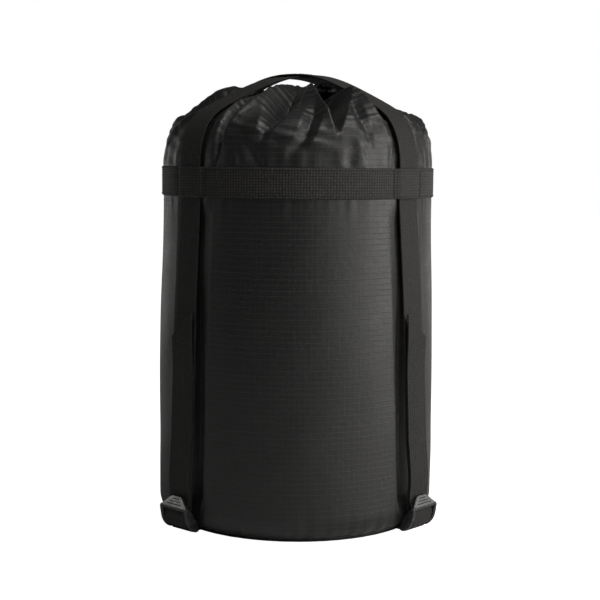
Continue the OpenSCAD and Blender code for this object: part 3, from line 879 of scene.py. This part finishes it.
def relax_collar(piece, rows, cols, length, radius):
    """Settles the gathered cloth: it wants to be the tube it was cut as; its pleats are held loosely."""
    angle = np.linspace(0, 360, cols, endpoint=False) - 180
    share = np.linspace(0, 1, rows)
    cut = polar(WAIST_R, angle[None, :], (SPLIT_Z + length * share)[:, None])
    piece.shape_key_add(name="Basis")
    flat = piece.shape_key_add(name="Flat")
    flat.data.foreach_set("co", cut.reshape(-1))
    flat.value = 0
    held = piece.vertex_groups.new(name="held")
    rim = radius > WAIST_R - 0.4 * MM
    for j in range(rows):
        weight = 1.0 if rim[j] or j >= rows - 2 else 0.10
        held.add(list(range(j * cols, (j + 1) * cols)), weight, "REPLACE")
    cloth = piece.modifiers.new("cloth", "CLOTH")
    s = cloth.settings
    s.quality = 5
    s.mass = 0.1
    s.tension_stiffness, s.compression_stiffness = 14, 2.5
    s.shear_stiffness, s.bending_stiffness = 3, 1.2
    s.tension_damping = s.compression_damping = s.shear_damping = 10
    s.air_damping = 3
    s.vertex_group_mass = "held"
    s.pin_stiffness = 0.6
    s.rest_shape_key = flat
    s.effector_weights.gravity = 0
    cloth.collision_settings.use_collision = False
    last = 14
    cloth.point_cache.frame_start, cloth.point_cache.frame_end = 1, last
    scene = bpy.context.scene
    for f in range(1, last + 1):
        scene.frame_set(f)
    settled = piece.evaluated_get(bpy.context.evaluated_depsgraph_get())
    points = np.zeros(len(piece.data.vertices) * 3)
    settled.data.vertices.foreach_get("co", points)
    scene.frame_set(1)
    piece.modifiers.remove(cloth)
    piece.shape_key_clear()
    return points.reshape(-1, 3)


def collar_weave(rows, cols, along, radius):
    """UVs of the gathered cloth: the weave keeps its pitch on each lobe, its surplus is in the valleys.

    edges are the angles of the valleys where the pattern jumps.
    """
    edges = np.array([-160, -116, -77, -36, 12, 43, 66, 107, 153, 200])
    angle = np.linspace(-180, 180, cols + 1)
    middle = (angle[:-1] + angle[1:]) / 2
    middle = np.where(middle < edges[0], middle + 360, middle)
    lobe = np.clip(np.searchsorted(edges, middle) - 1, 0, len(edges) - 2)
    centre = (edges[lobe] + edges[lobe + 1]) / 2
    uvs = []
    for j in range(rows - 1):
        for i in range(cols):
            a0 = angle[i] + (360 if angle[i] < edges[0] - 1e-6 and centre[i] > 150 else 0)
            a1 = a0 + 360 / cols
            corners = []
            for a, k in ((a0, j), (a1, j), (a1, j + 1), (a0, j + 1)):
                across = math.radians(centre[i]) * WAIST_R + math.radians(a - centre[i]) * radius[k]
                corners.append((float(across), float(along[k])))
            uvs.append(tuple(corners))
    return uvs


def make_collar(material):
    rows, cols = 76, 460
    points, length, radius = collar_grid(rows, cols)
    along = np.linspace(0, 1, rows) * length
    points, faces, _ = grid_part(points, np.zeros((rows, cols + 1, 2)))
    weave = collar_weave(rows, cols, along, radius)
    piece = make("collar_cloth", (points, faces, weave), material, closed=False)
    most = 5 * MM                   # the farthest that settling may move a point
    shift = relax_collar(piece, rows, cols, length, radius) - points
    size = np.linalg.norm(shift, axis=1, keepdims=True)
    settled = points + shift * np.minimum(1, most / np.maximum(size, 1e-9))
    piece.data.vertices.foreach_set("co", settled.reshape(-1))
    piece.data.update()
    subdivide(piece)
    return piece, length


def hem_part():
    """Rolled hem round the drawcord, bunched into small ruffles, with one calm stretch."""
    cols, around = 300, 18
    angle = np.linspace(0, 360, cols, endpoint=False)
    ruffle = wobble(angle, (23, 29, 34, 41), 41)
    tube = HEM_TUBE_R * (0.90 + 0.13 * ruffle)
    lift = 0.5 * MM * wobble(angle, (5, 8, 13, 29), 42)
    ring_r = HEM_R + 0.5 * MM * wobble(angle, (4, 7, 26), 43)
    calm = np.exp(-((wrapped(angle + EXIT_TURN) / 12) ** 2))
    t = np.linspace(0, 360, around, endpoint=False)
    rr = ring_r[None, :] + tube[None, :] * cos(t)[:, None]
    zz = MOUTH_Z + (lift * (1 - calm))[None, :] + tube[None, :] * sin(t)[:, None]
    zz = np.clip(zz, MOUTH_Z - HEM_TUBE_R, MOUTH_Z + HEM_TUBE_R + 0.6 * MM)
    points = polar(rr, angle[None, :], zz)
    points[..., :2] += MOUTH
    u = np.linspace(0, 1, cols + 1) * 2 * math.pi * WAIST_R
    v = np.linspace(0, 1, around + 1) * 2 * math.pi * HEM_TUBE_R
    return grid_part(points, grid_uv(u, v), wrap_rows=True)


# ---- Webbing ----

def web_section(width=WEB_W, thickness=WEB_T, ribs=17, depth=0.07 * MM, hug=0.0):
    """Section of webbing: ribs on both faces, thinner selvedges. hug curves it to a radius."""
    count = ribs * 4
    s = np.linspace(-0.5, 0.5, count + 1)
    rib = depth * (0.5 - 0.5 * np.cos(2 * math.pi * ribs * (s + 0.5)))
    edge = np.clip((0.5 - np.abs(s)) * width / (0.7 * MM), 0, 1)
    half = thickness / 2 * (0.45 + 0.55 * np.sqrt(1 - (1 - edge) ** 2)) - depth + rib
    bend = -(s * width) ** 2 / (2 * hug) if hug else 0 * s
    top = np.stack([s * width, bend + half], axis=1)
    bottom = np.stack([s * width, bend - half], axis=1)
    return np.vstack([bottom, top[::-1]])


def place(angle, radius, facing, out, z, spin):
    """Centre, width direction and outward direction of webbing at a station; takes arrays."""
    at = polar(radius, angle + spin, z)
    normal = polar(1.0, facing + spin, 0.0 * z)
    normal[..., 2] = 0
    side = np.stack([cos(facing + spin), sin(facing + spin), 0 * z], axis=-1)
    return at + normal * np.asarray(out)[..., None], side, normal


def anchor_matrix(strap, spin):
    """From a buckle's own frame (x across, -y outward, z up its length) to the model's."""
    turn = Matrix.Rotation(math.radians(spin), 4, "Z")
    x, y, _ = polar(ANCHOR_R, strap[1], 0.0)
    return (turn @ Matrix.Translation((x, y, 0)) @ Matrix.Rotation(math.radians(strap[2]), 4, "Z")
            @ Matrix.Translation((0, 0, ANCHOR_Z)) @ Matrix.Rotation(math.radians(LEAN), 4, "X"))


def in_plane(route):
    """(outward, up) points in mm as points in a buckle's own frame, in metres."""
    route = np.asarray(route, float) * MM
    return np.stack([0 * route[:, 0], -route[:, 0], route[:, 1]], axis=1)


def turned(points, matrix):
    return np.c_[points, np.ones(len(points))] @ np.array(matrix)[:3].T


def ribbon_part(path, side, section, shift=None):
    """Webbing along a path. side is its width direction before it is made square to the path."""
    d = heading(path)
    side = unit(side - np.sum(side * d, axis=1, keepdims=True) * d)
    return sweep_part(path, side, unit(np.cross(side, d)), section, shift=shift)


def leg_path(strap, spin, z, layer=0.0):
    angle, radius, facing, out = leg_station(strap, z)
    return place(angle, radius, facing, out + layer, z, spin)


def lower_leg_part(strap, spin, n_foot, layer, section):
    """The stretch between a buckle's wrap and the place where the leg lies on the cloth."""
    matrix = anchor_matrix(strap, spin)
    foot = turned(in_plane([[n_foot, WRAP_TOP / MM]]), matrix)[0]
    up = np.array(matrix.to_3x3() @ Vector((0, 0, 1)))
    side0 = np.array(matrix.to_3x3() @ Vector((1, 0, 0)))
    z1 = np.array([SPLIT_LEG_Z, SPLIT_LEG_Z + 4 * MM])
    ends, sides, _ = leg_path(strap, spin, z1, layer)
    share = np.linspace(0, 1, 22)[:, None]
    reach = np.linalg.norm(ends[0] - foot)
    path = hermite(share, foot, ends[0], up * reach, unit(ends[1] - ends[0]) * reach)
    return ribbon_part(path, side0 * (1 - share) + sides[0] * share, section)


def upper_leg_part(strap, spin, section):
    z = np.arange(SPLIT_LEG_Z, high("strap_leg_front_right", 2) + 0.5 * MM, 3 * MM)
    path, side, _ = leg_path(strap, spin, z)
    return ribbon_part(path, side, section)


def tail_part(strap, spin, section):
    """The loose tail over the leg, cut off at a slant."""
    z = np.arange(SPLIT_LEG_Z, TAIL_TOP + 0.5 * MM, 2.5 * MM)
    z[-1] = TAIL_TOP
    path, side, _ = leg_path(strap, spin, z, TAIL_LAYER)
    lift = 2.2 * MM * smooth(z, 130 * MM, TAIL_TOP)
    path = path + polar(1.0, strap[2] + spin, 0 * z) * lift[:, None] * [1, 1, 0]
    slope = math.tan(math.radians(-42 if strap[0] > 0 else 42))
    shift = slope * smooth(z, 120 * MM, TAIL_TOP)[:, None] * section[None, :, 0]
    return ribbon_part(path, side, section, shift)


def arc_points(centre, radius, start, end):
    """Points on an arc, about 15 degrees apart."""
    count = max(2, int(abs(end - start) / 15) + 1)
    a = np.linspace(start, end, count)
    return np.stack([centre[0] + radius * cos(a), centre[1] + radius * sin(a)], axis=1)


def wrap_part(strap, spin, section):
    """Webbing that comes down behind the grip bar, turns round it and goes up again in front."""
    turn = GRIP_R + WEB_T / MM / 2 + 0.45
    route = np.vstack([[[-2.2, 30], [-0.9, 22], [0.5, 16.5], [GRIP_N - turn, 11]],
                       arc_points((GRIP_N, GRIP_LOW), turn, 180, 360),
                       [[GRIP_N + turn, 9.5], [GRIP_N + turn, 13.2], [7.1, 15.2], [5.6, 17],
                        [3.5, 18.8], [1.9, 20.8], [0.95, 23.4], [-0.4, 30]]])
    keep = np.r_[True, np.linalg.norm(np.diff(route, axis=0), axis=1) > 0.05]
    path = resample(in_plane(route[keep]), 0.8 * MM)
    return moved(ribbon_part(path, np.array([1.0, 0, 0]), section), anchor_matrix(strap, spin))


def anchor_part(strap, spin, section):
    """Sewn loop that holds a buckle's lower bar: out from the base seam, round the bar and back."""
    route = np.vstack([[[-9.4, -2.55], [-6, -2.65], [-3, -2.75]], arc_points((0, 0), 2.75, -90, 120),
                       [[-3.2, 1.2], [-5.6, -0.6], [-9.2, -1.1]]])
    path = resample(in_plane(route), 0.8 * MM)
    matrix = anchor_matrix(strap, spin) @ Matrix.Rotation(math.radians(-LEAN), 4, "X")
    return moved(ribbon_part(path, np.array([1.0, 0, 0]), section), matrix)


def band_part():
    """Girth band: a closed loop that stands off over each strap, pulled in a little at its tacks."""
    cols = 380
    angle = np.linspace(0, 360, cols, endpoint=False) - 180
    radius = np.full(cols, WAIST_R + 0.95 * MM)
    radius += 0.12 * MM * wobble(angle, (11, 17, 23), 51)
    for strap, spin in CORNERS.values():
        away = np.abs(wrapped(angle - strap[0] - spin)) * math.pi / 180 * WAIST_R
        radius += 1.75 * MM * (1 - smooth(away, 12.6 * MM, 16.2 * MM))
        radius -= 0.30 * MM * np.exp(-((away - 18.2 * MM) / (1.6 * MM)) ** 2)
    path = polar(radius, angle, (BAND_BOTTOM + BAND_TOP) / 2 + 0 * radius)
    side = np.tile([0, 0, 1.0], (cols, 1))
    out = unit(np.cross(heading(path, closed=True), side))
    return sweep_part(path, side, out, web_section(WEB_W, 1.4 * MM, 11, 0.16 * MM), closed=True), path


def cross_strap_part(strap, rise, section):
    """Strap over the dome, from inside the girth band on one side to the other."""
    t = np.linspace(0, 87, 60)
    arch_r = WEB_R * cos(t) ** (2 / DOME_N)
    arch_z = BAND_TOP + rise * sin(t) ** (2 / DOME_N) - slumped(t)
    ends = [BAND_BOTTOM + 2 * MM, BAND_TOP - 8 * MM]
    r = np.r_[WEB_R, WEB_R, arch_r, 0, -arch_r[::-1], -WEB_R, -WEB_R]
    z = np.r_[ends, arch_z, BAND_TOP + rise, arch_z[::-1], ends[::-1]]
    path = resample(polar(r, strap[0], z), 2.5 * MM)
    return ribbon_part(path, np.array([cos(strap[0]), sin(strap[0]), 0.0]), section)


# ---- Stitching ----

def stitch_parts(path, out, stand=0.12 * MM):
    """A row of lockstitches: short arched threads along a path."""
    length, gap, radius = 2.6 * MM, 0.9 * MM, 0.28 * MM
    arch = np.array([-0.30, 0.1, 0.2, 0.1, -0.30])[:, None] * MM * 0.8
    path = np.asarray(path, float)
    s = lengths(path)
    parts = []
    for k in range(int(s[-1] // (length + gap))):
        at = np.linspace(k * (length + gap), k * (length + gap) + length, 5)
        pts = np.stack([np.interp(at, s, path[:, i]) for i in range(3)], axis=1)
        nrm = unit(np.stack([np.interp(at, s, out[:, i]) for i in range(3)], axis=1))
        parts.append(tube_part(pts + nrm * (stand + arch), radius, 6))
    return parts


def zigzag_part(centre, up, across, out, tall, wide):
    """A bar tack: dense zigzag stitching."""
    pitch, radius = 0.62 * MM, 0.24 * MM
    count = int(tall / pitch)
    k = np.arange(count + 1)
    along = (k / count - 0.5) * tall
    aside = np.where(k % 2 == 0, -0.5, 0.5) * wide
    path = centre + up * along[:, None] + across * aside[:, None] + out * 0.1 * MM
    return tube_part(path, radius, 5)


# ---- Buckles ----

def slab_part(outline, half, bevel):
    """A flat outline (a, b) in mm drawn from -half to half along c, with rounded edges."""
    outline = np.asarray(outline, float)
    around = np.vstack([outline[-1:], outline, outline[:1]])
    tangent = unit(around[2:] - around[:-2])
    normal = np.stack([tangent[:, 1], -tangent[:, 0]], axis=1)
    (x, y), (x_next, y_next) = outline.T, np.roll(outline, -1, axis=0).T
    normal *= np.sign(np.sum(x * y_next - y * x_next))
    edge = [(half - bevel + bevel * cos(a), bevel * (1 - sin(a))) for a in (90, 60, 30, 0)]
    middle = [(c, 0.0) for c in np.linspace(-(half - bevel), half - bevel, 6)[1:-1]]
    profile = [(-c, i) for c, i in edge[::-1]] + middle + edge
    rings = np.array([np.c_[outline - normal * inset, np.full(len(outline), c)] * MM
                      for c, inset in profile])
    u = lengths(np.vstack([outline, outline[:1]])) * MM
    v = lengths(np.array(profile)) * MM
    wall = grid_part(rings, grid_uv(u, v))
    return join_parts([wall, cap_part(rings[0], True), cap_part(rings[-1], False)])


def rounded_outline(points, radius, steps=4):
    """Rounds the corners of an outline given in mm."""
    points = np.asarray(points, float)
    result = []
    for k in range(len(points)):
        before, here, after = points[k - 1], points[k], points[(k + 1) % len(points)]
        a, b = unit(before - here), unit(after - here)
        nearer = min(np.linalg.norm(before - here), np.linalg.norm(after - here))
        reach = min(radius, 0.45 * nearer)
        p, q = here + a * reach, here + b * reach
        for t in np.linspace(0, 1, steps + 1):
            result.append((1 - t) ** 2 * p + 2 * t * (1 - t) * here + t**2 * q)
    return np.array(result)


# A buckle's half width, its side plates' width, its head bar, and its lift tab's slope and thickness
FRAME_HALF, RAIL_W = 16.5, 3.6
HEAD = (7.6, 18.4)
TAB_SLOPE, TAB_T = 56, 2
SIDE_PLATE = np.vstack([arc_points((0, 0), 2.8, 165, 285),
                        [[3.4, -1.8], [5.8, 0.6], [8, 4], [9.3, 8], [9.6, 12.5]],
                        arc_points(HEAD, 2, 0, 150), [[3.6, 16.4], [1.9, 12.5], [0, 8], [-1.9, 4]]])
PLATE_RIB = [[1.2, 1.5], [4.2, 2.0], [6.6, 5.5], [7.6, 11.5], [6.4, 15.5], [3.6, 12], [2.0, 7]]
LIFT_TAB = [[-15.6, 0], [-14.6, 2.2], [-7, 9.4], [-5, 10.4], [5, 10.4], [7, 9.4], [14.6, 2.2], [15.6, 0]]
# From an (outward, up, across) outline to a buckle's own frame
ACROSS = Matrix(((0, 0, 1, 0), (-1, 0, 0, 0), (0, 1, 0, 0), (0, 0, 0, 1)))


def bar_part(n, u, radius, half):
    line = np.array([[x, -n, u] for x in np.linspace(-half, half, 9)]) * MM
    return tube_part(line, radius * MM, 20)


def buckle_part(strap, spin):
    """Ladder-lock: two side plates, a lower bar, a grip bar, a head bar and a tongue-shaped lift tab."""
    inner_half = FRAME_HALF - RAIL_W
    plate = slab_part(rounded_outline(SIDE_PLATE, 1.0, 2), RAIL_W / 2, 0.7)
    rib = slab_part(rounded_outline(PLATE_RIB, 1.0, 2), 0.35, 0.3)
    parts = []
    for hand in (-1, 1):
        for slab, aside in ((plate, FRAME_HALF - RAIL_W / 2), (rib, FRAME_HALF - 0.1)):
            parts.append(moved(slab, Matrix.Translation((hand * aside * MM, 0, 0)) @ ACROSS))
    parts.append(bar_part(0, 0, 1.7, inner_half + 0.5))
    parts.append(bar_part(*HEAD, 1.5, inner_half + 0.5))
    n0, n1, u0, u1 = GRIP_N - GRIP_R, GRIP_N + GRIP_R, GRIP_LOW - GRIP_R, GRIP_HIGH + GRIP_R
    grip = rounded_outline([[n0, u0], [n0, u1], [n1, u1], [n1, u0]], 1.2)
    parts.append(moved(slab_part(grip, inner_half + 0.5, 0.2), ACROSS))
    to_tab = (Matrix.Translation((0, -HEAD[0] * MM, HEAD[1] * MM))
              @ Matrix.Rotation(math.radians(TAB_SLOPE), 4, "X"))
    tab = slab_part(rounded_outline(LIFT_TAB, 1.2), TAB_T / 2, 0.7)
    parts.append(moved(tab, to_tab @ Matrix.Translation((0, 0, TAB_T / 2 * MM))))
    for k in range(3):                  # finger ridges on the lift tab
        reach = 8.5 - 2.4 * k
        line = np.array([[x, 3.0 + 2.3 * k, TAB_T] for x in np.linspace(-reach, reach, 11)]) * MM
        parts.append(moved(tube_part(line, 0.38 * MM, 8), to_tab))
    return moved(join_parts(parts), anchor_matrix(strap, spin))


# ---- Cord lock ----

def lock_matrix():
    """From the lock's own frame (x along its axis towards the eyelet, z up) to the model's."""
    ex = mouth_point(0, 1.0, 0.0) - mouth_point(0, 0.0, 0.0)
    ey = np.cross([0, 0, 1.0], ex)
    centre = mouth_point(0, 0.0, LOCK_Z)
    rows = np.stack([ex, ey, [0, 0, 1.0], centre], axis=1)
    return Matrix([*rows.tolist(), [0, 0, 0, 1]])


def spring_part():
    """Three turns of wire between the floor of the barrel and the cup in the button's back."""
    share = np.linspace(0, 1, 3 * 24 + 1)
    turn = 3 * 360 * share
    along = SPRING[0] + (SPRING[1] - SPRING[0]) * share
    path = np.stack([along, 2 * MM * cos(turn), 2 * MM * sin(turn)], axis=1)
    return moved(tube_part(path, 0.35 * MM, 10), lock_matrix())


# ---- Putting it together ----

studio()
cord_mat = braid("braided_cord")
tails = make_cords(cord_mat)
cloth_mat = ripstop("ripstop_nylon")
band_mat = webbing("band_webbing", 11, 1.15, 0.18 * MM, 2.4 * MM)
strap_mat = webbing("strap_webbing", 9, 0.88, 0.16 * MM, 1.9 * MM)
plastic_mat = plastic("black_acetal", (0.020, 0.020, 0.021), 0.22)
thread_mat = thread_material("black_thread")
steel_mat = steel("plated_steel")

knot = make("cord_knot_braid", knot_part(), cord_mat)
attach(knot, "sack_top")
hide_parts("cord_knot")

# Body and base
part, body_height = body_panel_part()
body = make("body_cloth", part, cloth_mat, closed=False)
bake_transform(body)
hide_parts("body_panel")

part, seam_path, seam_out = side_seam_part()
seam = make("side_seam_fold", part, cloth_mat)
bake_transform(seam)
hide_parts("side_seam")
rows_of_thread = []
for aside in (-2.9 * MM, 2.9 * MM):
    rows_of_thread += stitch_parts(seam_path + [aside, 0, 0], seam_out, stand=0.45 * MM)
seam_thread = make("side_seam_thread", join_parts(rows_of_thread), thread_mat)
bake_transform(seam_thread)

base = make("base_cloth", base_panel_part(), cloth_mat, closed=False)
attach(base, "sack_base")
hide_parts("base_panel")

angle = np.linspace(0, 360, 240, endpoint=False)
ring = polar(SEAM_R + 0.95 * MM + 0.12 * MM * wobble(angle, (31, 43, 59), 61), angle, 1.35 * MM)
up = np.tile([0, 0, 1.0], (len(ring), 1))
part = sweep_part(ring, unit(np.cross(heading(ring, closed=True), up)), up,
                  box_section(2.1 * MM, 1.85 * MM, 0.6 * MM), closed=True)
binding = make("base_binding_tape", part, strap_mat)
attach(binding, "sack_base")
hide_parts("base_binding")

# Gathered top
collar, collar_length = make_collar(cloth_mat)
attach(collar, "sack_top")
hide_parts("collar")
hem = make("mouth_hem_roll", hem_part(), cloth_mat)
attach(hem, "sack_top")
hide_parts("mouth_hem")
turn = np.linspace(-78, 258, 120) + EXIT_TURN
loop = np.stack([MOUTH[0] + HEM_R * cos(turn), MOUTH[1] + HEM_R * sin(turn), np.full(120, MOUTH_Z)], axis=1)
drawcord = make("drawcord_in_hem", tube_part(loop, CORD_D / 2, 12), cord_mat)
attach(drawcord, "sack_top")
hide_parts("drawcord")

# Girth band
part, band_path = band_part()
band = make("girth_band_webbing", part, band_mat)
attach(band, "sack_top")
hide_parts("girth_band")
thread = []
for z in (BAND_TOP - 1.5 * MM, BAND_BOTTOM + 1.5 * MM):
    row = np.vstack([band_path, band_path[:1]])
    row = row + unit(row * [1, 1, 0]) * 0.62 * MM
    row[:, 2] = z
    thread += stitch_parts(row, unit(row * [1, 1, 0]))
band_thread = make("girth_band_thread", join_parts(thread), thread_mat)
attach(band_thread, "sack_top")
tacks = []
for strap, spin in CORNERS.values():
    for hand in (-1, 1):
        at = strap[0] + spin + hand * 8.8
        centre = polar(WAIST_R + 1.85 * MM, at, (BAND_BOTTOM + BAND_TOP) / 2)
        across, out = np.array([cos(at), sin(at), 0]), np.array([sin(at), -cos(at), 0])
        tacks.append(zigzag_part(centre, np.array([0, 0, 1.0]), across, out, WEB_W - 3 * MM, 1.3 * MM))
tack = make("band_tack_thread", join_parts(tacks), thread_mat)
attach(tack, "sack_top")
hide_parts("band_tacks")

# Crossed straps
section = web_section()
for name, strap, rise in (("over", OVER, ARCH_OVER), ("under", UNDER, ARCH_UNDER)):
    part = cross_strap_part(strap, rise, section)
    cross = make(f"cross_strap_{name}_webbing", part, strap_mat)
    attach(cross, "strap_cross")
    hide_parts(f"cross_strap_{name}")
half = 8.5 * MM
top_z = BAND_TOP + ARCH_OVER + WEB_T / 2
turn = np.array([[cos(OVER[0]), sin(OVER[0]), 0], [-sin(OVER[0]), cos(OVER[0]), 0]])
corners = np.array([[-half, -half], [half, -half], [half, half], [-half, half]]) @ turn
thread = []
for a, b in ((0, 1), (1, 2), (2, 3), (3, 0), (0, 2), (1, 3)):
    row = np.linspace(corners[a], corners[b], 30)
    row[:, 2] = top_z - 0.12 * MM - (row[:, 0] ** 2 + row[:, 1] ** 2)
    thread += stitch_parts(row, np.tile([0, 0, 1.0], (30, 1)))
box = make("cross_stitch_thread", join_parts(thread), thread_mat)
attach(box, "strap_cross")
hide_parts("cross_stitch")

# Legs, tails, wraps, buckles and anchors
section = web_section(hug=0.16)
flat_section = web_section(WEB_W - 0.4 * MM)
loop_section = web_section(WEB_W - 1.2 * MM, WEB_T * 0.95)
for corner, (strap, spin) in CORNERS.items():
    at = polar(ANCHOR_R, strap[1] + spin, 0.0)
    part = upper_leg_part(strap, spin, section)
    leg = make(f"strap_leg_{corner}_webbing", part, strap_mat)
    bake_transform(leg)
    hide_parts(f"strap_leg_{corner}")
    lower = [lower_leg_part(strap, spin, -2.2, 0.0, flat_section),
             lower_leg_part(strap, spin, -0.4, TAIL_LAYER, flat_section)]
    foot = make(f"strap_foot_{corner}_webbing", join_parts(lower), strap_mat)
    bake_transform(foot)
    part = tail_part(strap, spin, section)
    tail = make(f"strap_tail_{corner}_webbing", part, strap_mat)
    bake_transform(tail)
    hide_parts(f"strap_tail_{corner}")
    part = wrap_part(strap, spin, flat_section)
    wrap = make(f"strap_wrap_{corner}_webbing", part, strap_mat)
    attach(wrap, f"buckle_{corner}_body")
    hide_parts(f"strap_wrap_{corner}")
    part = buckle_part(strap, spin)
    buckle = make(f"ladder_lock_{corner}", part, plastic_mat, sharp=40)
    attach(buckle, f"buckle_{corner}_body")
    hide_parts(f"buckle_{corner}")
    part = anchor_part(strap, spin, loop_section)
    anchor = make(f"anchor_loop_{corner}_webbing", part, strap_mat)
    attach(anchor, "sack_base")
    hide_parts(f"anchor_loop_{corner}")

# Hard parts at the mouth keep their CAD shape
for node, material in (("drawcord_eyelet", steel_mat), ("cord_lock_barrel", plastic_mat),
                       ("cord_lock_button", plastic_mat)):
    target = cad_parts[node]
    target.data.materials.clear()
    target.data.materials.append(material)

spring = make("cord_lock_spring_wire", spring_part(), steel_mat)
spring_ends = [tuple(map(float, mouth_point(0, x, LOCK_Z))) for x in SPRING]
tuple(spring_ends[0])
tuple(spring_ends[1])
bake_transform(spring)
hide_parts("cord_lock_spring")

for (tail, path), aside in zip(tails, (-CORD_GAP, CORD_GAP)):
    float(lengths(path)[-1])
